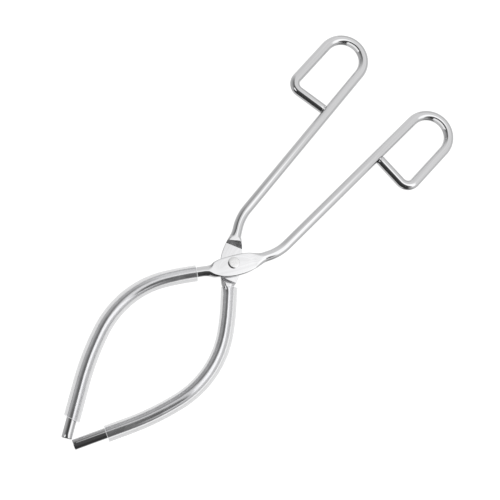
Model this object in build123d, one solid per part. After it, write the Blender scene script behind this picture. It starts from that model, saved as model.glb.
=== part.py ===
from build123d import *
import os
from math import cos, radians, sin

# Scissor tongs bent from round steel bar, for lifting hot beakers, flasks and crucibles.
# Frame: the origin is on the rivet's axis, in the plane of the joint's underside.
# +X runs along the tongs from the rivet to the finger loops, +Z is up, and the two arms
# lie flat, one each side of the XZ plane. Millimetres and degrees throughout.
# The rest position is closed, with the jaw tips just short of touching.

# Bar stock
ROD_D = 5.0
TIP_CHAMFER = 0.3

# Joint: each arm is forged into a leaf, and the two leaves lap at half thickness
LEAF_T = 4.8          # both leaves together
LEAF_GAP = 0.05       # running gap between the two leaves
LEAF_ANGLE = 33.0     # leaf's centre line to the long axis
LEAF_OFFSET = 1.35    # leaf's centre line past the rivet, towards the jaw side
LEAF_HALF_WIDTH = 5.15
LEAF_EDGE_R = 0.45
# Outline of the leaf: place along it from the rivet, and share of the half width there
LEAF_OUTER_EDGE = (
    (-11.6, 0.58), (-9.5, 0.78), (-5.5, 0.96), (0.5, 1.0), (6.5, 0.96), (12.0, 0.65), (17.0, 0.12)
)
LEAF_INNER_EDGE = (
    (-11.6, 0.50), (-8.5, 0.66), (-4.5, 0.89), (1.0, 1.0), (5.5, 0.95), (12.0, 0.60), (17.0, 0.12)
)
PRESSED_LENGTH = 13.0  # the bar's crown is pressed level with the leaf this far from the rivet
SHOULDER_TURN = 13.0  # shoulders are this far from square to the leaf
SHOULDER = 8.6        # from the rivet's axis to where a shoulder's ramp starts
RAMP_RUN = 2.2        # ramp's length, from half thickness to full

# Rivet
RIVET_D = 4.0
RIVET_HEAD_D = 5.8
RIVET_HEAD_H = 0.9
RIVET_PROUD = 0.2
RIVET_RIM = 0.1       # flat rim of the head around its raised crown
RIVET_CROWN_D = 4.9   # flat top of the crown
RUNNING_GAP = 0.05    # radial, in the arm that turns on the rivet

# Jaw: from the foot of the bar by the rivet to the tip
FOOT_OFFSET = 1.6     # bar's centre line past the rivet, square to the shank's root
JAW_ANGLE = 38.6      # root of the jaw to the long axis, opening outwards
JAW_ROOT = 20.9
JAW_BENDS = ((120.0, 6.8), (48.3, 48.1), (132.0, 11.8))  # bend radius, angle turned
TIP_GAP = 0.1         # between the two jaw tips when closed

# Handle: from the foot of the bar to the end of the finger loop
SHANK_ROOT_ANGLE = 29.3
SHANK_ROOT = 18.2
SHANK_BEND_R = 24.3
SHANK_ANGLE = 3.1     # straight shank to the long axis, spreading outwards
SHANK = 94.4
LOOP_R = 11.2         # round end of the finger loop
LOOP_TURN = 177.7
OUTER_BAR = 23.6
CORNER_R = 5.0
CORNER_TURN = 94.9
WELD_GAP = 0.1        # bar end's stand-off from the shank, around the weld
WELD_D = 3.2
BAR_END_CHAMFER = 0.4

# Clear tube sleeves on the jaws
SLEEVE_D = 8.0
SLEEVE_BORE_GAP = 0.02
SLEEVE_LENGTH = 101.6
LEFT_SLEEVE_FROM_TIP = 9.2
RIGHT_SLEEVE_FROM_TIP = 16.0

ROD_R = ROD_D / 2
MID_Z = LEAF_T / 2
WIDE = 30.0           # more than the joint's width, for cutting blocks


def polar(length, angle):
    """A step of this length in this direction, in the plane of the tongs."""
    return Vector(length * cos(radians(angle)), length * sin(radians(angle)))


def run(path, length):
    """Adds a straight of this length to the end of a list of edges."""
    start = path[-1] @ 1
    path.append(Line(start, start + (path[-1] % 1) * length))


def bend(path, radius, turn):
    """Adds a bend to the end of a list of edges, to the left where turn is positive."""
    path.append(JernArc(path[-1] @ 1, path[-1] % 1, radius, turn))


def foot():
    """Where the bar's centre line passes closest to the rivet."""
    return polar(FOOT_OFFSET, -SHANK_ROOT_ANGLE - 90)


def jaw_path():
    """Centre line of the jaw, from the foot outwards, round and in to the closed tips."""
    path = [Line(foot(), foot() + polar(JAW_ROOT, 180 - JAW_ANGLE))]
    for radius, turn in JAW_BENDS:
        bend(path, radius, turn)
    nose_angle = sum(turn for _, turn in JAW_BENDS) - JAW_ANGLE
    drop = (path[-1] @ 1).Y - TIP_GAP / 2 - ROD_R * cos(radians(nose_angle))
    run(path, drop / sin(radians(nose_angle)))
    return path


def handle_path():
    """Centre line of the shank and the finger loop, up to the shank's own surface."""
    path = [Line(foot(), foot() + polar(SHANK_ROOT, -SHANK_ROOT_ANGLE))]
    bend(path, SHANK_BEND_R, SHANK_ROOT_ANGLE - SHANK_ANGLE)
    run(path, SHANK)
    shank = path[-1]
    bend(path, LOOP_R, -LOOP_TURN)
    run(path, OUTER_BAR)
    bend(path, CORNER_R, -CORNER_TURN)
    square_to_shank = polar(1, 90 - SHANK_ANGLE)
    short_of_shank = (shank @ 0 - path[-1] @ 1).dot(square_to_shank) - ROD_R - WELD_GAP
    run(path, short_of_shank / (path[-1] % 1).dot(square_to_shank))
    return path


def swept(path, radius):
    """Round bar of this radius along a list of tangent edges."""
    wire = Wire(path)
    section = Plane(origin=wire @ 0, z_dir=wire % 0) * Circle(radius)
    return sweep(section, path=wire)


def end_edge(bar, path):
    """The round edge at the end of a bar that is away from the rivet."""
    return bar.edges().filter_by(GeomType.CIRCLE).sort_by_distance(path[-1] @ 1)[0]


def leaf_frame():
    """Plane on the rivet with x along the leaf, towards the handle, at half thickness."""
    return Plane.XY.rotated((0, 0, -LEAF_ANGLE))


def leaf_blank():
    """The forged leaf at full thickness: broad over the rivet, running out into the bar."""
    outer = Spline(*[(along, share * LEAF_HALF_WIDTH) for along, share in LEAF_OUTER_EDGE])
    inner = Spline(*[(along, -share * LEAF_HALF_WIDTH) for along, share in LEAF_INNER_EDGE])
    ends = [Line(outer @ k, inner @ k) for k in (0, 1)]
    outline = make_face([outer, inner] + ends)
    blank = extrude(outline, LEAF_T / 2, both=True)
    blank = fillet(blank.edges().filter_by(GeomType.BSPLINE), LEAF_EDGE_R)
    return leaf_frame() * Pos(0, -LEAF_OFFSET, 0) * blank


def pressed_crowns():
    """Blocks above and below the leaf's faces, where the bar's round crown is pressed flat."""
    block = Box(2 * PRESSED_LENGTH, WIDE, ROD_R)
    height = LEAF_T / 2 + ROD_R / 2
    return [leaf_frame() * Pos(0, 0, side * height) * block for side in (1, -1)]


def lap_cut():
    """What is forged away under the upper leaf: half the thickness, with a ramp at each end."""
    top = LEAF_GAP / 2
    deep = -ROD_D
    reach = SHOULDER + RAMP_RUN * (top - deep) / ROD_R
    corners = [(-SHOULDER, top), (SHOULDER, top), (reach, deep), (-reach, deep)]
    section = Plane.XZ * make_face(Polyline(*corners, close=True))
    cut = extrude(section, WIDE / 2, both=True)
    return leaf_frame() * Rot(0, 0, SHOULDER_TURN) * cut


def rivet_form(gap):
    """The rivet's body between the outer faces of the leaves, larger by gap all round."""
    shaft_r = RIVET_D / 2 + gap
    head_r = RIVET_HEAD_D / 2 + gap
    face = LEAF_T / 2
    neck = face - RIVET_HEAD_H
    profile = Polyline(
        (0, -face),
        (head_r, -face),
        (shaft_r, -neck),
        (shaft_r, neck),
        (head_r, face),
        (0, face),
        close=True,
    )
    return revolve(make_face(Plane.XZ * profile), Axis.Z)


def rivet():
    """Rivet with both ends set in countersinks and left standing slightly proud."""
    shape = rivet_form(0)
    crown_r = RIVET_HEAD_D / 2 - RIVET_RIM
    for side in (1, -1):
        plane = Plane(origin=(0, 0, side * LEAF_T / 2), z_dir=(0, 0, side))
        top = plane.offset(RIVET_PROUD)
        shape += loft([plane * Circle(crown_r), top * Circle(RIVET_CROWN_D / 2)])
    return shape


def arm(rivet_gap):
    """One arm with its leaf on top: jaw to the +Y side, shank and loop to the -Y side."""
    jaw = jaw_path()
    jaw_bar = swept(jaw, ROD_R)
    jaw_bar = chamfer(end_edge(jaw_bar, jaw), TIP_CHAMFER)
    handle = handle_path()
    handle_bar = swept(handle, ROD_R)
    handle_bar = chamfer(end_edge(handle_bar, handle), BAR_END_CHAMFER)
    bar_end = Plane(origin=handle[-1] @ 1, z_dir=handle[-1] % 1)
    weld = extrude(bar_end * Circle(WELD_D / 2), ROD_R, both=True)
    shape = jaw_bar + handle_bar
    for block in pressed_crowns():
        shape -= block
    shape += leaf_blank() + weld
    shape -= lap_cut()
    shape -= rivet_form(rivet_gap)
    return shape


def sleeve(from_tip):
    """Clear tube pushed over the jaw of the upper arm, its near end this far from the tip."""
    wire = Wire(jaw_path())
    start = wire.trim(1 - (from_tip + SLEEVE_LENGTH) / wire.length, 1 - from_tip / wire.length)
    plane = Plane(origin=start @ 0, z_dir=start % 0)
    wall = Circle(SLEEVE_D / 2) - Circle(ROD_R + SLEEVE_BORE_GAP)
    return sweep(plane * wall, path=start)


def flipped(shape):
    """The same piece turned over about the long axis, for the other arm."""
    return Rot(180, 0, 0) * shape


nodes = {
    "upper_arm": arm(RUNNING_GAP),
    "lower_arm": flipped(arm(0)),
    "rivet": rivet(),
    "left_jaw_sleeve": sleeve(LEFT_SLEEVE_FROM_TIP),
    "right_jaw_sleeve": flipped(sleeve(RIGHT_SLEEVE_FROM_TIP)),
}

os.makedirs("parts", exist_ok=True)
for name, shape in nodes.items():
    export_step(Pos(0, 0, MID_Z) * shape, f"parts/{name}.step")
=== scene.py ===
from math import ceil, cos, pi, radians, sin, tan

import bmesh
import bpy
import numpy as np
from mathutils import Matrix, Vector


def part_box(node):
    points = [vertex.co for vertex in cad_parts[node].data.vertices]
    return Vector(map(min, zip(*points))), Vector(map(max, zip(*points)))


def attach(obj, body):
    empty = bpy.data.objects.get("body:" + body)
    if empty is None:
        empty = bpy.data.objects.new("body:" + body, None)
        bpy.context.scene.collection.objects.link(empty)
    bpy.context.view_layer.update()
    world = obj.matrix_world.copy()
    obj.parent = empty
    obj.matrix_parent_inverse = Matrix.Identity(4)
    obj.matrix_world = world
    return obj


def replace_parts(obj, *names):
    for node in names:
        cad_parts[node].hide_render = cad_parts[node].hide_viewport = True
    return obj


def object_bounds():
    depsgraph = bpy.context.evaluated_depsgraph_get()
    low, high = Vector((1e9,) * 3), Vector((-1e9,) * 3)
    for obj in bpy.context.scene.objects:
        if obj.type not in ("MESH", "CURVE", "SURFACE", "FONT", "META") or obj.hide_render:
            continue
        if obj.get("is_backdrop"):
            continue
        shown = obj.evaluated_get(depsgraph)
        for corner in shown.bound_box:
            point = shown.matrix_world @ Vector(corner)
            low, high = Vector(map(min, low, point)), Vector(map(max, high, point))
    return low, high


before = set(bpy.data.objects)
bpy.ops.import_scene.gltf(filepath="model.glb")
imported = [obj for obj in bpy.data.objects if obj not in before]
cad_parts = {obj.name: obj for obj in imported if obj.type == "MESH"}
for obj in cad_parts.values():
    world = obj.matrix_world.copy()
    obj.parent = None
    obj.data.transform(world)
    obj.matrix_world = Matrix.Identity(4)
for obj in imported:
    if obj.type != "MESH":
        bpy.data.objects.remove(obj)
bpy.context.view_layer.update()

# Laboratory tongs: two bent steel bars lapped and riveted, with clear tube sleeves on the jaws.
# Meshes are worked out in millimetres about the tongs' middle plane, then raised and scaled.
# +X runs to the finger loops, +Y to the upper arm's jaw, and the rivet's axis is at x = y = 0.

MM = 0.001

# ---------------------------------------------------------------- bar and path dimensions
ROD_R = 2.5
MID_Z = (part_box("rivet")[0].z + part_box("rivet")[1].z) / 2 / MM
FACE_Z = 2.4            # outer faces of the joint, above and below the middle plane
TIP_ROUND = 0.42        # rounding of the bar's end at the jaw's tip
END_ROUND = 0.4         # the same at the end of the finger loop

FOOT_OFFSET = 1.6       # bar's centre line past the rivet
JAW_ANGLE = 38.6        # root of the jaw to the long axis
JAW_ROOT = 20.9
JAW_BENDS = ((120.0, 6.8), (48.3, 48.1), (132.0, 11.8))   # bend radius, angle turned
TIP_GAP = 0.1           # between the two jaw tips when closed

SHANK_ROOT_ANGLE = 29.3
SHANK_ROOT = 18.2
SHANK_BEND_R = 24.3
SHANK_ANGLE = 3.1       # straight shank to the long axis
SHANK = 94.4
LOOP_R = 11.2           # round end of the finger loop
LOOP_TURN = 177.7
OUTER_BAR = 23.6
CORNER_R = 5.0
CORNER_TURN = 94.9
WELD_GAP = 0.1          # bar end's stand-off from the shank, around the weld
WELD_R = 1.6
WELD_REACH = 1.2        # how far the weld runs into the bar's end and into the shank

# ---------------------------------------------------------------- forged leaf
LEAF_ANGLE = 33.0       # leaf's axis to the long axis
LEAF_GAP = 0.05         # between the two leaves
LEAF_EDGE_R = 0.45      # edges of the outer face
LAP_EDGE_R = 0.18       # edges of the face in the lap
SHOULDER = 8.83         # shoulder lines cross the leaf's axis this far from the rivet
SHOULDER_TURN = 13.0
JAW_RAMP_TOP = 10.4     # where the ramp reaches full thickness, towards the jaw
JAW_RAMP_TURN = 4.0
HANDLE_RAMP_TOP = 11.4  # the same towards the handle
HANDLE_RAMP_TURN = -5.0
JAW_RAMP_ROUND = 2.1    # least rounding of the bar's lapped side beyond the jaw's ramp
RAMP_REACH = 1.0        # how far a ramp can run past its ends, where it crosses the leaf askew
RAMP_SLOPE = (-0.95, -0.3)  # upright part of the normals of a ramp's faces
RAMP_BLEND = 0.12       # the ramps' ends are rounded off over this length each way
CLOSE_RINGS = (-0.12, -0.04, 0.04, 0.12)  # extra rings about each end of a ramp
RING_SPACING = 0.1      # least distance from those to the regular rings
JAW_FACE_END = -8.2     # the flat face starts to turn into the round bar here
HANDLE_FACE_END = 9.0
JAW_ROUND_AGAIN = 13.0  # the bar is round again this far from the rivet
HANDLE_ROUND_AGAIN = 16.5
LAP_SIDE_ROUND_AGAIN = 14.0  # the same towards the handle on the side that is lapped
JAW_SQUARE_AGAIN = 14.0  # sections are square to the jaw's bar again this far from the rivet
LEAF_PAST_ROUND = (3.5, 0.8)  # the leaf's rings run on past the round bar's start: jaw, handle
BAR_PAST_ROUND = (4.5, 1.2)   # and the plain bar's rings start this far past it
# The leaf's two edges, which run out into the bar's: place along the leaf, offset to its side
OUTER_EDGE = (
    (-17.5, 2.64), (-14.5, 2.34), (-12.4, 2.13), (-11.2, 2.12), (-9.5, 2.85), (-7.8, 3.35),
    (-6.0, 3.65), (-3.0, 3.78), (0.0, 3.8), (3.0, 3.78), (6.2, 3.62), (9.0, 3.1),
    (12.0, 2.25), (14.5, 1.9), (17.5, 2.03),
)
INNER_EDGE = (
    (-17.5, -2.38), (-15.5, -2.58), (-13.2, -3.2), (-11.4, -4.1), (-8.4, -4.85), (-4.65, -5.95),
    (-1.2, -6.45), (1.9, -6.5), (5.0, -6.3), (8.3, -5.65), (11.7, -4.6), (13.4, -4.0),
    (15.5, -3.3), (17.5, -2.98),
)

# ---------------------------------------------------------------- rivet
RIVET_R = 2.0
RIVET_HEAD_R = 2.9
RIVET_HEAD_H = 0.9
RIVET_PROUD = 0.2
RIVET_LEAN = 185.0      # the side on which the crowns stand proud, as an angle to the long axis
RIVET_LOW_SHARE = 0.1   # least share of its height that a crown keeps on the other side
RIVET_GAP = 0.02        # between the rivet and its hole
RIVET_HOLE_PAST = 1.0   # the hole's cutter runs this far past the leaves' outer faces
RIVET_SUNK = 0.02       # foot of the crown under the leaf's face
RIVET_LIP = (0.02, 0.03)  # head's edge: in from its radius, and under the leaf's face
# Crown of the rivet: radius, share of its height
RIVET_CROWN = (
    (0.0, 1.0), (1.2, 0.99), (1.9, 0.95), (2.15, 0.86), (2.35, 0.62), (2.6, 0.3), (2.84, 0.0)
)

# ---------------------------------------------------------------- sleeves
SLEEVE_R = 4.0
BORE_GAP = 0.02
SLEEVE_LENGTH = 101.6
LEFT_SLEEVE_FROM_TIP = 9.2
RIGHT_SLEEVE_FROM_TIP = 16.0
RIM_ROUND = 0.3         # rounding of the cut ends, outside and in the bore
LEFT_CUT_ANGLE = 14.0   # the left sleeve's end by the tip is cut this far from square
CUT_FACE_SLOPE = 0.2    # faces whose normals run along the tube more than this are its cut ends
CUT_LENGTH = 6.0        # that cut slants the tube's rings over this length
MOUTH_LENGTH = 30.0     # the tube's outside drifts sideways over this length by the rivet
LEFT_DRIFT = (0.0, 0.45)        # outside's centre from the bar's: along the sleeve, at the mouth
RIGHT_DRIFT = (-0.45, -0.3)

# ---------------------------------------------------------------- mesh fineness
STATION_STEP = 2.0      # most millimetres between stations of a path
STATION_TURN = 2.5      # most degrees between them
LEAF_STEP = 0.25
SLEEVE_STEP = 1.5
BAR_SIDES = 88
SLEEVE_SIDES = 72
RIM_ANGLES = (0, 30, 60, 90)
RIVET_SIDES = 72
RIVET_HOLE_SIDES = 96
EDGE_ROUNDS = 12        # steps to where a section line meets the leaf's edge
CORNER_POINTS = 24      # points that a ring's corner is worked out from
CORNER_WEIGHT = 3.0     # millimetres of outline that a radian of corner counts for
END_STEPS = 4           # rings over a bar's rounded end
SHARP_ANGLE = 35.0      # edges sharper than this stay sharp in the steel
TUBE_SHARP_ANGLE = 60.0
MERGE_DISTANCE = 1e-5


# ================================================================ paths
def heading(angle):
    """Unit vector at this angle to the long axis, in the plane of the tongs."""
    return np.array([cos(radians(angle)), sin(radians(angle))])


def stations(start, angle, moves):
    """Rows of x, y, heading and distance along straights and bends given as (length, turn)."""
    rows = [(start[0], start[1], angle, 0.0)]
    for length, turn in moves:
        count = max(ceil(length / STATION_STEP), ceil(abs(turn) / STATION_TURN))
        half = radians(turn / count) / 2
        chord = length / count * (sin(half) / half if half else 1.0)
        for _ in range(count):
            x, y, now, distance = rows[-1]
            step = chord * heading(now + turn / count / 2)
            rows.append((x + step[0], y + step[1], now + turn / count, distance + length / count))
    return np.array(rows)


FOOT = FOOT_OFFSET * heading(-SHANK_ROOT_ANGLE - 90)


def jaw_stations():
    """Centre line of the jaw from the foot to the tip."""
    moves = [(JAW_ROOT, 0)] + [(r * radians(turn), turn) for r, turn in JAW_BENDS]
    end = stations(FOOT, 180 - JAW_ANGLE, moves)[-1]
    nose_angle = end[2] - 180
    drop = end[1] - TIP_GAP / 2 - ROD_R * cos(radians(nose_angle))
    return stations(FOOT, 180 - JAW_ANGLE, moves + [(drop / sin(radians(nose_angle)), 0)])


def handle_stations():
    """Centre line of the shank and finger loop from the foot to the bar's end."""
    moves = [
        (SHANK_ROOT, 0),
        (SHANK_BEND_R * radians(SHANK_ROOT_ANGLE - SHANK_ANGLE), SHANK_ROOT_ANGLE - SHANK_ANGLE),
        (SHANK, 0),
        (LOOP_R * radians(LOOP_TURN), -LOOP_TURN),
        (OUTER_BAR, 0),
        (CORNER_R * radians(CORNER_TURN), -CORNER_TURN),
    ]
    shank = stations(FOOT, -SHANK_ROOT_ANGLE, moves[:3])[-1]
    end = stations(FOOT, -SHANK_ROOT_ANGLE, moves)[-1]
    square = heading(90 - SHANK_ANGLE)
    short = (shank[:2] - end[:2]) @ square - ROD_R - WELD_GAP
    return stations(FOOT, -SHANK_ROOT_ANGLE, moves + [(short / (heading(end[2]) @ square), 0)])


def smooth(low, high, value):
    """Runs from 0 to 1 as value goes from low to high, level at both ends."""
    t = np.clip((value - low) / (high - low), 0.0, 1.0)
    return t * t * (3 - 2 * t)


def curve(points, x):
    """Smooth curve through (x, y) points."""
    px, py = np.array(points).T
    slopes = np.gradient(py, px)
    k = int(np.clip(np.searchsorted(px, x) - 1, 0, len(px) - 2))
    width = px[k + 1] - px[k]
    t = (x - px[k]) / width
    return (
        (1 + 2 * t) * (1 - t) ** 2 * py[k]
        + t * (1 - t) ** 2 * width * slopes[k]
        + t * t * (3 - 2 * t) * py[k + 1]
        - t * t * (1 - t) * width * slopes[k + 1]
    )


# ================================================================ rings
def outline(half_width, bottom, top, r_bottom, r_top):
    """x, z and distance round a rounded rectangle, at points shared between flats and corners."""
    x, z = [], []
    corners = (
        (half_width - r_top, top - r_top, r_top, 90, 0),
        (half_width - r_bottom, bottom + r_bottom, r_bottom, 0, -90),
        (-half_width + r_bottom, bottom + r_bottom, r_bottom, -90, -180),
        (-half_width + r_top, top - r_top, r_top, -180, -270),
    )
    turning = []
    for cx, cz, r, start, stop in corners:
        for angle in np.linspace(start, stop, CORNER_POINTS):
            x.append(cx + r * cos(radians(angle)))
            z.append(cz + r * sin(radians(angle)))
            turning.append(radians(90 - angle))
    x = np.array([0.0] + x + [0.0])
    z = np.array([top] + z + [top])
    steps = np.hypot(np.diff(x), np.diff(z))
    turns = np.concatenate([[0.0], np.array(turning), [turning[-1]]])
    weight = np.concatenate([[0.0], np.cumsum(steps + CORNER_WEIGHT * np.abs(np.diff(turns)))])
    marks = np.linspace(0.0, weight[-1], BAR_SIDES, endpoint=False)
    length = np.concatenate([[0.0], np.cumsum(steps)])
    return (
        np.interp(marks, weight, x),
        np.interp(marks, weight, z),
        np.interp(marks, weight, length),
    )


def ring(left, right, bottom, top, r_bottom, r_top):
    """Ring of 3-D points around a bar from its left to its right edge, and distances round it."""
    left, right = np.array(left), np.array(right)
    centre, half = (left + right) / 2, (right - left) / 2
    width = np.hypot(*half)
    x, z, around = outline(width, bottom, top, r_bottom, r_top)
    plan = centre + np.outer(x / width, half)
    return np.column_stack([plan, z]), around


def rod_ring(row, radius=ROD_R, forward=0.0):
    """Round ring at a station, moved this far along the bar."""
    place = row[:2] + forward * heading(row[2])
    side = radius * heading(row[2] + 90)
    return ring(place + side, place - side, -radius, radius, radius, radius)


def rounded_end(row, round_r):
    """Rings that round off the end of a bar, from full radius to the end face."""
    rings = []
    for k in range(END_STEPS + 1):
        angle = radians(90 * k / END_STEPS)
        back = round_r * (1 - sin(angle))
        rings.append(rod_ring(row, ROD_R - round_r * (1 - cos(angle)), -back))
    return rings


# ================================================================ leaf
def section_turn(s):
    """How far the section through the leaf's axis at s is turned from square to the leaf."""
    if s < -JAW_RAMP_TOP:
        share = smooth(-JAW_SQUARE_AGAIN, -JAW_RAMP_TOP, s)
        rod = LEAF_ANGLE - JAW_ANGLE
        return rod + (JAW_RAMP_TURN - rod) * share
    if s < -SHOULDER:
        share = (s + JAW_RAMP_TOP) / (JAW_RAMP_TOP - SHOULDER)
        return JAW_RAMP_TURN + (SHOULDER_TURN - JAW_RAMP_TURN) * share
    if s < SHOULDER:
        return SHOULDER_TURN
    if s < HANDLE_RAMP_TOP:
        share = (s - SHOULDER) / (HANDLE_RAMP_TOP - SHOULDER)
        return SHOULDER_TURN + (HANDLE_RAMP_TURN - SHOULDER_TURN) * share
    share = smooth(HANDLE_RAMP_TOP, HANDLE_ROUND_AGAIN, s)
    rod = LEAF_ANGLE - SHANK_ROOT_ANGLE
    return HANDLE_RAMP_TURN + (rod - HANDLE_RAMP_TURN) * share


def edge_point(edge, s, turn):
    """Where the section line through (s, 0), turned this far, meets an edge of the leaf."""
    n = curve(edge, s)
    for _ in range(EDGE_ROUNDS):
        n = curve(edge, s - n * tan(radians(turn)))
    along = s - n * tan(radians(turn))
    return along * heading(-LEAF_ANGLE) + n * heading(90 - LEAF_ANGLE)


def ramp_share(s):
    """Share of the full thickness under the middle plane: 0 in the lap, 1 beyond the ramps."""
    places = (-JAW_RAMP_TOP, -SHOULDER, SHOULDER, HANDLE_RAMP_TOP)
    shares = (1.0, 0.0, 0.0, 1.0)
    nearby = (-1, -0.5, 0, 0.5, 1)
    return float(np.mean([np.interp(s + k * RAMP_BLEND, places, shares) for k in nearby]))


def leaf_marks():
    """Places along the leaf for its rings, closer together at the ends of the ramps."""
    start = -JAW_ROUND_AGAIN - LEAF_PAST_ROUND[0]
    stop = HANDLE_ROUND_AGAIN + LEAF_PAST_ROUND[1]
    marks = np.linspace(start, stop, round((stop - start) / LEAF_STEP) + 1)
    ramp_ends = (-JAW_RAMP_TOP, -SHOULDER, SHOULDER, HANDLE_RAMP_TOP)
    close = [end + step for end in ramp_ends for step in CLOSE_RINGS]
    return sorted([m for m in marks if min(abs(m - c) for c in close) > RING_SPACING] + close)


def leaf_rings():
    """Rings through the forged leaf of the arm that laps on top, from jaw to handle."""
    rings = []
    for s in leaf_marks():
        turn = section_turn(s)
        left = edge_point(OUTER_EDGE, s, turn)
        right = edge_point(INNER_EDGE, s, turn)
        half = np.hypot(*(left - right)) / 2
        bar_share = smooth(HANDLE_FACE_END, HANDLE_ROUND_AGAIN, s)
        bar_share += smooth(JAW_FACE_END, -JAW_ROUND_AGAIN, s)
        top = FACE_Z + (ROD_R - FACE_Z) * bar_share
        r_top = min(LEAF_EDGE_R + (ROD_R - LEAF_EDGE_R) * bar_share, half)
        ramp = ramp_share(s)
        bottom = LEAF_GAP / 2 + (-top - LEAF_GAP / 2) * ramp
        lap_side = JAW_RAMP_ROUND
        if s > 0:
            lap_side = smooth(HANDLE_RAMP_TOP, LAP_SIDE_ROUND_AGAIN, s) * ROD_R
        r_full = min(max(r_top, lap_side), half)
        r_bottom = LAP_EDGE_R + (r_full - LAP_EDGE_R) * smooth(0.0, 1.0, ramp)
        rings.append(ring(left, right, bottom, top, r_bottom, r_top))
    return rings


# ================================================================ meshes
def mesh_object(name, body, nodes):
    """Empty mesh object that rides on a body and stands for CAD nodes."""
    obj = bpy.data.objects.new(name, bpy.data.meshes.new(name))
    bpy.context.scene.collection.objects.link(obj)
    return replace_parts(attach(obj, body), *nodes)


def skin(rings, closed=False):
    """bmesh of a skin over rings of points, with distances along and round it as its UV map."""
    bm = bmesh.new()
    uv = bm.loops.layers.uv.new("drawn")
    rows = [[bm.verts.new(point) for point in points] for points, _ in rings]
    centres = np.array([points.mean(0) for points, _ in rings])
    along = np.concatenate([[0.0], np.cumsum(np.hypot(*np.diff(centres[:, :2], axis=0).T))])
    sides = len(rows[0])
    for a in range(len(rows) - 1):
        b = a + 1
        for i in range(sides):
            j = (i + 1) % sides
            face = bm.faces.new((rows[a][i], rows[a][j], rows[b][j], rows[b][i]))
            face.smooth = True
            round_a, round_b = rings[a][1], rings[b][1]
            end_a, end_b = round_a[j], round_b[j]
            if j == 0:    # the distance round the ring runs on over the seam
                end_a = round_a[i] + round_a[1] - round_a[0]
                end_b = round_b[i] + round_b[1] - round_b[0]
            values = (
                (along[a], round_a[i]), (along[a], end_a), (along[b], end_b), (along[b], round_b[i])
            )
            for loop, value in zip(face.loops, values):
                loop[uv].uv = Vector(value) * MM
    if not closed:
        for row in (rows[0], rows[-1][::-1]):
            bm.faces.new(row[::-1]).smooth = True
    return bm


def revolved(profile, sides):
    """bmesh of a solid turned about the Z axis from (radius, z) points, both ends on the axis."""
    bm = bmesh.new()
    uv = bm.loops.layers.uv.new("drawn")
    ends = [bm.verts.new((0, 0, profile[k][1])) for k in (0, -1)]
    rows = []
    for k in range(sides):
        turn = 2 * pi * k / sides
        rows.append([bm.verts.new((r * cos(turn), r * sin(turn), z)) for r, z in profile[1:-1]])
    for k in range(sides):
        a, b = rows[k], rows[(k + 1) % sides]
        faces = [bm.faces.new((ends[0], b[0], a[0])), bm.faces.new((ends[1], a[-1], b[-1]))]
        for i in range(len(a) - 1):
            faces.append(bm.faces.new((a[i], b[i], b[i + 1], a[i + 1])))
        for face in faces:
            face.smooth = True
            for loop in face.loops:
                loop[uv].uv = (loop.vert.co.x * MM, loop.vert.co.y * MM)
    return bm


def finish_mesh(bm, obj, flipped):
    """Moves a bmesh into the frame, turned over for the lower arm, and hands it to an object."""
    bmesh.ops.recalc_face_normals(bm, faces=bm.faces)
    if flipped:
        bm.transform(Matrix.Rotation(pi, 4, "X"))
    bm.transform(Matrix.Scale(MM, 4) @ Matrix.Translation((0, 0, MID_Z)))
    bm.to_mesh(obj.data)
    bm.free()


def cut(obj, bm, operation):
    """Applies a boolean with another closed mesh to an object, both still in millimetres."""
    tool = bpy.data.objects.new("tool", bpy.data.meshes.new("tool"))
    bpy.context.scene.collection.objects.link(tool)
    bmesh.ops.recalc_face_normals(bm, faces=bm.faces)
    bm.to_mesh(tool.data)
    bm.free()
    modifier = obj.modifiers.new("cut", "BOOLEAN")
    modifier.operation = operation
    modifier.solver = "EXACT"
    modifier.object = tool
    apply_modifiers(obj)
    bpy.data.objects.remove(tool)


def apply_modifiers(obj):
    """Replaces an object's mesh by the result of its modifiers."""
    bpy.context.view_layer.update()
    evaluated = obj.evaluated_get(bpy.context.evaluated_depsgraph_get())
    mesh = bpy.data.meshes.new_from_object(evaluated)
    mesh.name = obj.name
    obj.modifiers.clear()
    obj.data = mesh


def crisp(obj, angle):
    """Marks edges sharper than this and weights normals by area, so flats shade flat."""
    bm = bmesh.new()
    bm.from_mesh(obj.data)
    for edge in bm.edges:
        if len(edge.link_faces) == 2 and edge.calc_face_angle() > radians(angle):
            edge.smooth = False
    for face in bm.faces:
        face.smooth = True
    bm.to_mesh(obj.data)
    bm.free()
    weighted = obj.modifiers.new("weighted_normals", "WEIGHTED_NORMAL")
    weighted.keep_sharp = True


def rivet_hole():
    """bmesh of what is cut away for the rivet, running out past both outer faces."""
    head_r = RIVET_HEAD_R + RIVET_GAP
    shaft_r = RIVET_R + RIVET_GAP
    past = FACE_Z + RIVET_HOLE_PAST
    upper = [(shaft_r, FACE_Z - RIVET_HEAD_H), (head_r, FACE_Z), (head_r, past), (0, past)]
    lower = [(r, -z) for r, z in upper[::-1]]
    return revolved(lower + upper, RIVET_HOLE_SIDES)


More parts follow.
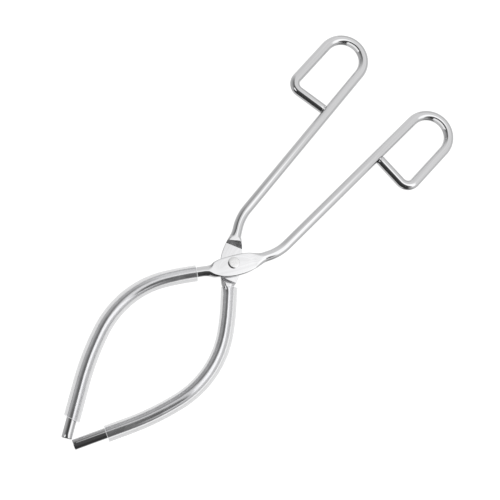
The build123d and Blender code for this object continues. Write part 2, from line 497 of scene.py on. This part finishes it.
def arm(name, body, node, flipped):
    """One arm as a single skin from jaw tip to the end of the finger loop."""
    jaw = jaw_stations()
    tip = jaw[-1].copy()
    jaw[:, 2] += 180      # the skin runs from the tip back to the rivet
    jaw = jaw[jaw[:, 3] > JAW_ROUND_AGAIN + BAR_PAST_ROUND[0]][::-1]
    handle = handle_stations()
    handle = handle[handle[:, 3] > HANDLE_ROUND_AGAIN + BAR_PAST_ROUND[1]]
    tip_rings = rounded_end(tip, TIP_ROUND)[::-1]
    rings = [(points[mirror_order(len(points))], around) for points, around in tip_rings]
    rings += [rod_ring(row) for row in jaw[1:]] + leaf_rings()
    rings += [rod_ring(row) for row in handle[:-1]]
    rings += rounded_end(handle[-1], END_ROUND)
    obj = mesh_object(name, body, [node])
    bm = skin(rings)
    bmesh.ops.recalc_face_normals(bm, faces=bm.faces)
    bm.to_mesh(obj.data)
    bm.free()
    cut(obj, rivet_hole(), "DIFFERENCE")
    weld_ends = (-WELD_REACH, WELD_GAP + WELD_REACH)
    cut(obj, skin([rod_ring(handle[-1], WELD_R, forward) for forward in weld_ends]), "UNION")
    bm = bmesh.new()
    bm.from_mesh(obj.data)
    mark_ramps(bm)
    finish_mesh(bm, obj, flipped)
    crisp(obj, SHARP_ANGLE)
    return obj


def mark_ramps(bm):
    """Gives the second material to the lap's two ramps, which aren't polished."""
    axis = heading(-LEAF_ANGLE)
    for face in bm.faces:
        place = face.calc_center_median()
        along = abs(place.x * axis[0] + place.y * axis[1])
        by_ramp = SHOULDER - RAMP_REACH < along < HANDLE_RAMP_TOP + RAMP_REACH
        slopes = RAMP_SLOPE[0] < face.normal.z < RAMP_SLOPE[1]
        face.material_index = 1 if by_ramp and slopes else 0


def mirror_order(count):
    """Order that swaps a ring's left and right, keeping its first point."""
    return [(-k) % count for k in range(count)]


def rivet():
    """Rivet with low crowns, hammered so that they stand proud on one side and sink on the other."""
    low = FACE_Z - RIVET_SUNK
    height = RIVET_PROUD + RIVET_SUNK
    upper = [(r, low + height * share) for r, share in RIVET_CROWN]
    upper.append((RIVET_HEAD_R - RIVET_LIP[0], FACE_Z - RIVET_LIP[1]))
    upper.append((RIVET_R, FACE_Z - RIVET_HEAD_H))
    lower = [(r, -z) for r, z in upper[::-1]]
    bm = revolved((upper + lower)[::-1], RIVET_SIDES)
    proud = heading(RIVET_LEAN)
    for vert in bm.verts:
        above = abs(vert.co.z) - low
        if above > 0:
            lean = 0.5 + 0.5 * (vert.co.x * proud[0] + vert.co.y * proud[1]) / RIVET_HEAD_R
            side = 1 if vert.co.z > 0 else -1
            vert.co.z = side * (low + above * min(1.0, RIVET_LOW_SHARE + lean))
    obj = mesh_object("rivet_hammered", "fixed_arm", ["rivet"])
    finish_mesh(bm, obj, False)
    crisp(obj, SHARP_ANGLE)
    return obj


def sleeve(name, stands_for, body, from_tip, cut_angle, drift, flipped):
    """Clear tube over a jaw: rounded rims, uneven wall and an oblique cut by the tip."""
    jaw = jaw_stations()
    total = jaw[-1, 3]
    start, stop = total - from_tip - SLEEVE_LENGTH, total - from_tip
    marks = np.linspace(start, stop, round(SLEEVE_LENGTH / SLEEVE_STEP) + 1)
    bore = ROD_R + BORE_GAP

    def tube_ring(distance, radius):
        place = np.array([np.interp(distance, jaw[:, 3], jaw[:, k]) for k in range(3)])
        turn = 2 * pi * np.arange(SLEEVE_SIDES) / SLEEVE_SIDES
        side = heading(place[2] + 90)
        ahead = heading(place[2])
        lateral = radius * np.cos(turn)
        near_cut = smooth(stop - CUT_LENGTH, stop, distance)
        forward = lateral * tan(radians(cut_angle)) * near_cut
        along = smooth(start, start + MOUTH_LENGTH, distance)
        in_wall = (radius - bore) / (SLEEVE_R - bore)
        lateral += in_wall * (drift[1] + (drift[0] - drift[1]) * along)
        plan = place[:2] + np.outer(lateral, side) + np.outer(forward, ahead)
        return np.column_stack([plan, radius * np.sin(turn)]), turn * radius

    rings = [tube_ring(m, SLEEVE_R) for m in marks[1:-1]]
    rings += rim(tube_ring, stop, 1, bore)
    rings += [tube_ring(m, bore) for m in marks[1:-1][::-1]]
    rings += rim(tube_ring, start, -1, bore)[::-1]
    rings.append(rings[0])    # the skin closes on its first ring, and the merge joins the two
    bm = skin(rings, closed=True)
    bmesh.ops.remove_doubles(bm, verts=bm.verts, dist=MERGE_DISTANCE)
    mark_cut_ends(bm, jaw, (start, stop))
    obj = mesh_object(name, body, [stands_for])
    finish_mesh(bm, obj, flipped)
    crisp(obj, TUBE_SHARP_ANGLE)
    return obj


def mark_cut_ends(bm, jaw, ends):
    """Gives the second material to a sleeve's cut faces, at these distances along the jaw."""
    bm.normal_update()
    for end in ends:
        x, y, angle = [np.interp(end, jaw[:, 3], jaw[:, k]) for k in range(3)]
        ahead = heading(angle)
        for face in bm.faces:
            centre = face.calc_center_median()
            near = np.hypot(centre.x - x, centre.y - y) < 2 * SLEEVE_R
            if near and abs(np.array(face.normal[:2]) @ ahead) > CUT_FACE_SLOPE:
                face.material_index = 1


def rim(tube_ring, end, side, bore):
    """Rings over a sleeve's cut end, from its outside to its bore."""
    back = [side * RIM_ROUND * (1 - sin(radians(angle))) for angle in RIM_ANGLES]
    inset = [RIM_ROUND * (1 - cos(radians(angle))) for angle in RIM_ANGLES]
    rings = [tube_ring(end - b, SLEEVE_R - i) for b, i in zip(back, inset)]
    rings.append(tube_ring(end, (SLEEVE_R + bore) / 2))
    rings += [tube_ring(end - b, bore + i) for b, i in zip(back[::-1], inset[::-1])]
    return rings


# ================================================================ node helpers
def node(tree, kind, inputs=None, **settings):
    """New shader node with settings and inputs, where an input is a value or a socket."""
    made = tree.nodes.new("ShaderNode" + kind)
    for key, value in settings.items():
        setattr(made, key, value)
    for key, value in (inputs or {}).items():
        if isinstance(value, bpy.types.NodeSocket):
            tree.links.new(value, made.inputs[key])
        else:
            made.inputs[key].default_value = value
    return made


def plus(tree, a, b):
    """Sum of two values or sockets."""
    return node(tree, "Math", {0: a, 1: b}, operation="ADD").outputs[0]


def minus(tree, a, b):
    """Difference of two values or sockets."""
    return node(tree, "Math", {0: a, 1: b}, operation="SUBTRACT").outputs[0]


def times(tree, a, b):
    """Product of two values or sockets."""
    return node(tree, "Math", {0: a, 1: b}, operation="MULTIPLY").outputs[0]


def ramp01(tree, value, low, high, start=0.0, stop=1.0):
    """Smooth step of a value from start to stop as it goes from low to high."""
    if low > high:
        low, high, start, stop = high, low, stop, start
    made = node(
        tree,
        "MapRange",
        {"Value": value, "From Min": low, "From Max": high, "To Min": start, "To Max": stop},
        interpolation_type="SMOOTHSTEP",
    )
    return made.outputs["Result"]


def blend(tree, share, low, high):
    """Value between low and high, where share is 0 and 1."""
    made = node(tree, "Mix", {0: share, 2: low, 3: high}, data_type="FLOAT")
    return made.outputs[0]


def grey(tree, shade, blue=1.0):
    """Colour of this shade, with its blue this many times as strong."""
    return node(tree, "CombineColor", {0: shade, 1: shade, 2: times(tree, shade, blue)}).outputs[0]


def noise(tree, vector, scale, detail, roughness, dimensions="3D"):
    """Value of a noise texture."""
    inputs = {"Vector": vector, "Scale": scale, "Detail": detail, "Roughness": roughness}
    return node(tree, "TexNoise", inputs, noise_dimensions=dimensions).outputs["Fac"]


def drawn_lines(tree, along, around, detail, roughness):
    """Noise drawn out along a bar or tube, by the distances in its UV map."""
    uv = node(tree, "UVMap", uv_map="drawn").outputs["UV"]
    stretched = node(tree, "Mapping", {"Vector": uv, "Scale": (along, around, 1)}).outputs[0]
    return noise(tree, stretched, 1.0, detail, roughness, "2D")


def bumped(tree, height, strength, distance):
    """Normal that follows a height."""
    inputs = {"Height": height, "Strength": strength, "Distance": distance}
    return node(tree, "Bump", inputs).outputs[0]


def material(name):
    """Node material with only its output node."""
    made = bpy.data.materials.new(name)
    made.use_nodes = True
    made.node_tree.nodes.clear()
    output = node(made.node_tree, "OutputMaterial")
    return made, made.node_tree, output


# ================================================================ materials
MID_NOISE = (0.3, 0.7)          # most of a noise's values lie between these
UPPER_NOISE = (0.3, 0.75)
SCUFF_NOISE = (0.35, 0.75)
# Drawn lines: features a metre along the bar, features a metre round it, detail, roughness
STEEL_GRAIN = (60, 5200, 3.0, 0.6)
STEEL_STREAKS = (18, 900, 2.0, 0.5)
TUBE_LINES = (40, 700, 1.0, 0.5)
# Other noise: features a metre, detail, roughness
STEEL_PATCHES = (160.0, 4.0, 0.55)
RIVET_SCRATCHES = (3000.0, 3.0, 0.5)
TUBE_SCUFFS = (220.0, 5.0, 0.6)
TUBE_WAVES = (60.0, 0.0, 0.5)
RIVET_DENTS = 900.0
# Strength of each bump, and its depth in metres
STEEL_BUMP = (0.08, 0.00005)
RIVET_BUMP = (0.15, 0.0001)
TUBE_BUMP = (0.1, 0.0002)

STEEL_SHADE = (0.585, 0.65)
STEEL_BLUE = 1.012
STREAK_SHADE = 0.6              # weights of the streaks and the grain in the steel's shade
GRAIN_SHADE = 0.4
STREAK_HEIGHT = 0.5             # and in its height
GRAIN_HEIGHT = 0.7
STREAK_ROUGHNESS = 0.06         # how much rougher the streaks make the steel
STEEL_ANISOTROPY = 0.2
ANISOTROPY_TURN = 0.25          # as a share of a full turn from the drawn lines
POLISHED_ROUGHNESS = (0.055, 0.11)
FORGED_ROUGHNESS = (0.4, 0.5)
RIVET_SHADE = (0.58, 0.66)
RIVET_ROUGHNESS = (0.14, 0.24)
SCRATCH_HEIGHT = 0.25           # height of the scratches against the hammer marks

# Clear tube's look where it faces the camera, and where the line of sight grazes its side, which is
# darkened there as painted shade
TUBE_SIDE_ON = (0.1, 0.26)      # LayerWeight facing values between which it turns side-on
# face-on clarity is the tube's tint; its drop side-on is painted shade
TUBE_CLARITY_AND_SIDE_SHADE = (0.96, 0.6)
# painted light, on the band where the sight crosses the wall nearest its outside
TUBE_OUTER_PAINTED_LIGHT = 0.055      # added where the wall is crossed nearest its outside
TUBE_OUTER = (0.34, 0.6)        # and the facing values for that
# the haze is painted light: a glow that stands in for light scattered in the milky wall, here and on
# the scuffs
TUBE_HAZE_GLOW = (0.035, 0.047)
# the sawn ends are less clear, and whiter from a strong painted glow on their rims
CUT_CLARITY = (0.75, 0.75)      # the same for the sawn ends, which are whiter
CUT_HAZE_GLOW = (0.3, 0.3)
SCUFF_HAZE_GLOW = 0.02
HAZE_GLOW_COLOUR = (0.985, 0.99, 1.0, 1.0)
TUBE_BLUE = 1.004
TUBE_LINE_HEIGHT = 0.15         # height of the tube's drawn lines against its waves
TUBE_ROUGHNESS = (0.12, 0.25)
TUBE_IOR = 1.4
WHITE = (1.0, 1.0, 1.0, 1.0)


def drawn_steel(name, roughness):
    """Stainless bar: bright drawn lines along it, slight roughness patches, fine scratches."""
    made, tree, output = material(name)
    grain = drawn_lines(tree, *STEEL_GRAIN)
    streaks = drawn_lines(tree, *STEEL_STREAKS)
    place = node(tree, "TexCoord").outputs["Object"]
    patches = ramp01(tree, noise(tree, place, *STEEL_PATCHES), *UPPER_NOISE, *roughness)
    rough = plus(tree, patches, times(tree, minus(tree, streaks, 0.5), STREAK_ROUGHNESS))
    lines = plus(tree, times(tree, streaks, STREAK_SHADE), times(tree, grain, GRAIN_SHADE))
    shade = ramp01(tree, lines, *MID_NOISE, *STEEL_SHADE)
    height = plus(tree, times(tree, grain, GRAIN_HEIGHT), times(tree, streaks, STREAK_HEIGHT))
    tangent = node(tree, "Tangent", direction_type="UV_MAP", uv_map="drawn")
    shader = node(
        tree,
        "BsdfPrincipled",
        {
            "Base Color": grey(tree, shade, STEEL_BLUE),
            "Metallic": 1.0,
            "Roughness": rough,
            "Anisotropic": STEEL_ANISOTROPY,
            "Anisotropic Rotation": ANISOTROPY_TURN,
            "Tangent": tangent.outputs[0],
            "Normal": bumped(tree, height, *STEEL_BUMP),
        },
    )
    tree.links.new(shader.outputs[0], output.inputs["Surface"])
    return made


def hammered_steel():
    """Rivet: buffed steel with shallow hammer marks and fine scratches."""
    made, tree, output = material("rivet_steel_hammered")
    place = node(tree, "TexCoord").outputs["Object"]
    dents = node(tree, "TexVoronoi", {"Vector": place, "Scale": RIVET_DENTS, "Randomness": 1.0})
    scratches = noise(tree, place, *RIVET_SCRATCHES)
    height = plus(tree, dents.outputs["Distance"], times(tree, scratches, SCRATCH_HEIGHT))
    shader = node(
        tree,
        "BsdfPrincipled",
        {
            "Base Color": grey(tree, ramp01(tree, scratches, *MID_NOISE, *RIVET_SHADE)),
            "Metallic": 1.0,
            "Roughness": ramp01(tree, scratches, *MID_NOISE, *RIVET_ROUGHNESS),
            "Normal": bumped(tree, height, *RIVET_BUMP),
        },
    )
    tree.links.new(shader.outputs[0], output.inputs["Surface"])
    return made


def clear_tube(name, clarity_and_shade_range, haze_glow_range):
    """Clear flexible tube: a faint haze painted as a glow, and a tint, both stronger at its sides as
    painted light and shade, and a soft gloss.
    """
    made, tree, output = material(name)
    lines = drawn_lines(tree, *TUBE_LINES)
    place = node(tree, "TexCoord").outputs["Object"]
    scuffs = noise(tree, place, *TUBE_SCUFFS)
    line_height = times(tree, lines, TUBE_LINE_HEIGHT)
    height = plus(tree, line_height, noise(tree, place, *TUBE_WAVES))
    normal = bumped(tree, height, *TUBE_BUMP)
    # Haze, a painted glow, is for all that the camera sees; gloss and dark sides, painted shade, are
    # for where its sight enters a wall
    camera_ray = node(tree, "LightPath").outputs["Is Camera Ray"]
    leaving = node(tree, "NewGeometry").outputs["Backfacing"]
    entering = times(tree, minus(tree, 1.0, leaving), camera_ray)
    # A line of sight near the tube's side runs a long way through its wall; there the tint is
    # painted shade
    facing = node(tree, "LayerWeight", {"Blend": 0.5}).outputs["Facing"]
    side_on = times(tree, ramp01(tree, facing, *TUBE_SIDE_ON), entering)
    # painted light on the tube's outer band, and painted shade at its sides
    outer_painted_light = times(tree, ramp01(tree, facing, *TUBE_OUTER, 0.0, TUBE_OUTER_PAINTED_LIGHT), entering)
    clarity_and_shade = plus(tree, blend(tree, side_on, *clarity_and_shade_range), outer_painted_light)
    through = node(tree, "BsdfTransparent", {"Color": grey(tree, clarity_and_shade, TUBE_BLUE)})
    scuff_haze_glow = ramp01(tree, scuffs, *SCUFF_NOISE, 0.0, SCUFF_HAZE_GLOW)
    # painted glow of the tube's haze, stronger at its sides and where it is scuffed
    haze_glow = times(tree, plus(tree, blend(tree, side_on, *haze_glow_range), scuff_haze_glow), camera_ray)
    milk_glow = node(tree, "Emission", {"Color": HAZE_GLOW_COLOUR, "Strength": haze_glow})
    body = node(tree, "AddShader", {0: through.outputs[0], 1: milk_glow.outputs[0]})
    rough = ramp01(tree, scuffs, *SCUFF_NOISE, *TUBE_ROUGHNESS)
    gloss = node(tree, "BsdfAnisotropic", {"Color": WHITE, "Roughness": rough, "Normal": normal})
    fresnel = node(tree, "Fresnel", {"IOR": TUBE_IOR, "Normal": normal}).outputs[0]
    shine = times(tree, fresnel, entering)
    mix = node(tree, "MixShader", {0: shine, 1: body.outputs[0], 2: gloss.outputs[0]})
    tree.links.new(mix.outputs[0], output.inputs["Surface"])
    made.cycles.emission_sampling = "NONE"
    return made


# ================================================================ the object
bar_steel = [
    drawn_steel("arm_steel_drawn", POLISHED_ROUGHNESS),
    drawn_steel("arm_steel_forged", FORGED_ROUGHNESS),
]
rivet_steel = [hammered_steel()]
tube = [
    clear_tube("clear_tube_soft", TUBE_CLARITY_AND_SIDE_SHADE, TUBE_HAZE_GLOW),
    # the cut ends' material glows strongly, a painted highlight on the tube's rims
    clear_tube("clear_tube_cut_glowing", CUT_CLARITY, CUT_HAZE_GLOW),
]

upper_arm = arm("upper_arm_bar", "turning_arm", "upper_arm", flipped=False)
lower_arm = arm("lower_arm_bar", "fixed_arm", "lower_arm", flipped=True)
hammered_rivet = rivet()
left_sleeve = sleeve(
    "left_sleeve", "left_jaw_sleeve", "turning_arm",
    LEFT_SLEEVE_FROM_TIP, LEFT_CUT_ANGLE, LEFT_DRIFT, flipped=False,
)
right_sleeve = sleeve(
    "right_sleeve", "right_jaw_sleeve", "fixed_arm",
    RIGHT_SLEEVE_FROM_TIP, 0.0, RIGHT_DRIFT, flipped=True,
)
finishes = (
    (upper_arm, bar_steel),
    (lower_arm, bar_steel),
    (hammered_rivet, rivet_steel),
    (left_sleeve, tube),
    (right_sleeve, tube),
)
for piece, materials in finishes:
    for finish in materials:
        piece.data.materials.append(finish)

# ================================================================ floor, light and camera
# Places are in metres. A fade is two places, and where it has four numbers the last two are
# the light at each of them.
FLOOR_HALF = 4.0
FLOOR_DROP = 0.0002            # floor under the lowest point of the object
FLOOR_MOTTLE = (3.0, 2.0, 0.5)
FLOOR_SHADE = (0.84, 0.88)
FLOOR_SEEN_SHADE = 0.25        # share of that shade, and glow, which make it plain white when seen
FLOOR_SEEN_GLOW = 0.97
ROOM_LIGHT = 0.93
CEILING_Z = 0.6
CEILING_HALF = 1.2
CEILING_UNLIT = 0.09
ROOM_SLOPE = 0.1               # the ceiling's unlit part ends along a line, x = slope * y
ROOM_EDGE = (-0.08, 0.06)      # fade across that line
SOFTBOX_RIGHT = (0.34, 0.22)   # right and upper edges of the soft box over the near side
SOFTBOX_TOP = (0.11, -0.04)
SOFTBOX_LIGHT = 0.6            # above the rest of the ceiling
BACK_WALL_Y = 0.33             # unlit wall past the upper arm's jaw
BACK_WALL_X = (-0.45, 0.5)
BACK_WALL_LOW = -0.12
BACK_WALL_DARK = (-0.15, 0.5, 0.65, 0.13)   # fade upwards
BACK_WALL_PALE = (0.02, 0.27)               # fade towards the loops
SIDE_WALL_X = -0.45            # unlit wall past the jaw tips
SIDE_WALL_Y = (-1.3, 0.33)
SIDE_WALL_LOW = -1.2
SIDE_NEAR_FLOOR = (-0.3, -0.7, 0.05, 0.4)   # fades downwards into the light from the floor
SIDE_FAR_FLOOR = (-0.13, -0.24, 0.05, 0.8)
SIDE_NEAR_TO_FAR = (-0.45, -0.25)           # fade from the near part to the far part
SIDE_PALE_Y = (-0.66, -1.15, 0.0, 0.5)      # light from the near side of the room
SIDE_PALE_Z = (-0.35, -0.15)
LAMP_X = (-0.28, -0.33)        # lamp in the corner of the two unlit walls
LAMP_Y = (0.15, 0.2)
LAMP_Z = (0.22, 0.3)
LAMP_LIGHT = 1.5
LOOP_CARD_X = 0.109            # white cards that only the round ends of the loops reflect
LOOP_CARD_Y = (0.021, 0.039)
LOOP_CARD_Z = (-0.002, 0.026)
LOOP_CARD_FADE = (0.002, 0.01, 0.8, 1.3)    # fade upwards
# Fades of the room beyond the panels, by the direction of sight
WORLD_LEVEL = 0.8              # of all the light below
WORLD_BELOW = (-0.1, -0.6)
WORLD_BRIGHT = (0.1, 0.9, 0.0, 0.5)
WORLD_DULL = (0.0, -0.4, 0.0, -0.22)
WORLD_SHADE = (0.0, -0.2, 0.0, -0.45)
WORLD_SHADE_NEAR = (-0.3, -0.6)
WORLD_WALL = (-0.75, -0.95, 0.0, 0.3)
WORLD_WALL_FOOT = (-0.05, 0.3)


def rectangle(across, up):
    """Corners of a rectangle in order round it, between two places across and two places up."""
    left, right = across
    low, high = up
    return [(left, low), (right, low), (right, high), (left, high)]


def level_square(half, z):
    """Corners of a level square about the rivet's axis."""
    return [(x, y, z) for x, y in rectangle((-half, half), (-half, half))]


def panel(name, corners, finish, seen=False):
    """Stage panel between four corners: a light that only reflections show, or a seen floor."""
    bm = bmesh.new()
    bm.faces.new([bm.verts.new(corner) for corner in corners])
    obj = bpy.data.objects.new(name, bpy.data.meshes.new(name))
    bm.to_mesh(obj.data)
    bm.free()
    bpy.context.scene.collection.objects.link(obj)
    obj.data.materials.append(finish)
    obj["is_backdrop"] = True
    obj.visible_camera = seen
    obj.visible_shadow = seen
    obj.visible_glossy = not seen


def glowing(name, paint, one_sided=False):
    """Light panel whose strength is worked out from the place on it."""
    made, tree, output = material(name)
    geometry = node(tree, "NewGeometry")
    place = node(tree, "SeparateXYZ", {0: geometry.outputs["Position"]})
    shader = node(tree, "Emission", {"Strength": paint(tree, *place.outputs)})
    if one_sided:
        behind = geometry.outputs["Backfacing"]
        clear = node(tree, "BsdfTransparent")
        shader = node(tree, "MixShader", {0: behind, 1: shader.outputs[0], 2: clear.outputs[0]})
    tree.links.new(shader.outputs[0], output.inputs["Surface"])
    made.cycles.emission_sampling = "NONE"
    return made


def ceiling_paint(tree, x, y, z):
    """Pale ceiling with a brighter soft box on the near side, unlit past the jaw tips."""
    across = minus(tree, x, times(tree, y, ROOM_SLOPE))
    room = ramp01(tree, across, *ROOM_EDGE, CEILING_UNLIT, 1.0)
    box = ramp01(tree, across, *ROOM_EDGE, 0.0, SOFTBOX_LIGHT)
    box = times(tree, box, ramp01(tree, x, *SOFTBOX_RIGHT))
    box = times(tree, box, ramp01(tree, y, *SOFTBOX_TOP))
    return plus(tree, room, box)


def back_wall_paint(tree, x, y, z):
    """Dark towards the jaws and higher up, pale towards the loops."""
    dark = ramp01(tree, z, *BACK_WALL_DARK)
    wall = blend(tree, ramp01(tree, x, *BACK_WALL_PALE), dark, ROOM_LIGHT)
    lamp = times(tree, ramp01(tree, x, *LAMP_X), ramp01(tree, z, *LAMP_Z))
    return plus(tree, wall, times(tree, lamp, LAMP_LIGHT))


def side_wall_paint(tree, x, y, z):
    """Dark, with some light from the floor low down and from the near side of the room."""
    near_floor = ramp01(tree, z, *SIDE_NEAR_FLOOR)
    far_floor = ramp01(tree, z, *SIDE_FAR_FLOOR)
    from_floor = blend(tree, ramp01(tree, y, *SIDE_NEAR_TO_FAR), near_floor, far_floor)
    from_room = times(tree, ramp01(tree, y, *SIDE_PALE_Y), ramp01(tree, z, *SIDE_PALE_Z))
    lamp = times(tree, ramp01(tree, y, *LAMP_Y), ramp01(tree, z, *LAMP_Z))
    return plus(tree, plus(tree, from_floor, from_room), times(tree, lamp, LAMP_LIGHT))


def loop_card_paint(tree, x, y, z):
    """Brightest above the level of the tongs."""
    return ramp01(tree, z, *LOOP_CARD_FADE)


def floor_material():
    """Pale matt floor that fades into the white background."""
    made, tree, output = material("pale_floor")
    camera_ray = node(tree, "LightPath").outputs["Is Camera Ray"]
    place = node(tree, "TexCoord").outputs["Object"]
    mottle = ramp01(tree, noise(tree, place, *FLOOR_MOTTLE), *MID_NOISE, *FLOOR_SHADE)
    shade = times(tree, mottle, blend(tree, camera_ray, 1.0, FLOOR_SEEN_SHADE))
    matt = node(tree, "BsdfDiffuse", {"Color": grey(tree, shade)})
    glow = node(tree, "Emission", {"Strength": times(tree, camera_ray, FLOOR_SEEN_GLOW)})
    both = node(tree, "AddShader", {0: matt.outputs[0], 1: glow.outputs[0]})
    tree.links.new(both.outputs[0], output.inputs["Surface"])
    return made


def room_world():
    """Pale room for reflections, and plain white behind the object."""
    world = bpy.data.worlds.new("room")
    bpy.context.scene.world = world
    world.use_nodes = True
    tree = world.node_tree
    tree.nodes.clear()
    sight = node(tree, "SeparateXYZ", {0: node(tree, "TexCoord").outputs["Generated"]})
    x, y, z = sight.outputs
    # Below the level of the tongs: bright floor on the loops' side, darker past the near jaw
    below = ramp01(tree, z, *WORLD_BELOW)
    bright = times(tree, below, ramp01(tree, x, *WORLD_BRIGHT))
    shade = times(tree, below, ramp01(tree, x, *WORLD_SHADE))
    shade = times(tree, shade, ramp01(tree, y, *WORLD_SHADE_NEAR))
    dull = plus(tree, ramp01(tree, x, *WORLD_DULL), shade)
    # A lit side wall past the near jaw
    wall = times(tree, ramp01(tree, z, *WORLD_WALL_FOOT), ramp01(tree, y, *WORLD_WALL))
    light = plus(tree, plus(tree, bright, dull), plus(tree, wall, ROOM_LIGHT))
    camera_ray = node(tree, "LightPath").outputs["Is Camera Ray"]
    strength = blend(tree, camera_ray, times(tree, light, WORLD_LEVEL), 1.0)
    background = node(tree, "Background", {"Color": WHITE, "Strength": strength})
    output = node(tree, "OutputWorld")
    tree.links.new(background.outputs[0], output.inputs["Surface"])


panel("ceiling", level_square(CEILING_HALF, CEILING_Z), glowing("ceiling_light", ceiling_paint))
panel(
    "back_wall",
    [(x, BACK_WALL_Y, z) for x, z in rectangle(BACK_WALL_X, (BACK_WALL_LOW, CEILING_Z))],
    glowing("back_wall_light", back_wall_paint),
)
panel(
    "side_wall",
    [(SIDE_WALL_X, y, z) for y, z in rectangle(SIDE_WALL_Y, (SIDE_WALL_LOW, CEILING_Z))],
    glowing("side_wall_light", side_wall_paint),
)
for side, arm_side in (("near", -1), ("far", 1)):
    card_y = sorted(arm_side * y for y in LOOP_CARD_Y)
    panel(
        f"{side}_loop_card",
        [(LOOP_CARD_X, y, z) for y, z in rectangle(card_y, LOOP_CARD_Z)],
        glowing(f"{side}_loop_card_light", loop_card_paint, one_sided=True),
    )
floor_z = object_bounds()[0].z - FLOOR_DROP
panel("floor", level_square(FLOOR_HALF, floor_z), floor_material(), seen=True)
room_world()

# Camera above the jaws, looking almost straight down with the loops to the upper right
CAMERA_PLACE = Vector((-0.1182, -0.0217, 0.5482))
CAMERA_FORWARD = Vector((0.23, 0.0359, -0.9725)).normalized()
CAMERA_UP = Vector((0.7177, 0.6687, 0.1944)).normalized()
CAMERA_LENS = 81.2
CAMERA_CLIP = 0.01             # nearest place that it sees

camera = bpy.data.objects.new("camera", bpy.data.cameras.new("camera"))
bpy.context.scene.collection.objects.link(camera)
camera.data.lens = CAMERA_LENS
camera.data.clip_start = CAMERA_CLIP
camera_right = CAMERA_FORWARD.cross(CAMERA_UP).normalized()
camera_up = camera_right.cross(CAMERA_FORWARD)
camera_turn = Matrix((camera_right, camera_up, -CAMERA_FORWARD)).transposed().to_4x4()
camera.matrix_world = Matrix.Translation(CAMERA_PLACE) @ camera_turn
bpy.context.scene.camera = camera
bpy.context.scene.view_settings.view_transform = "Standard"
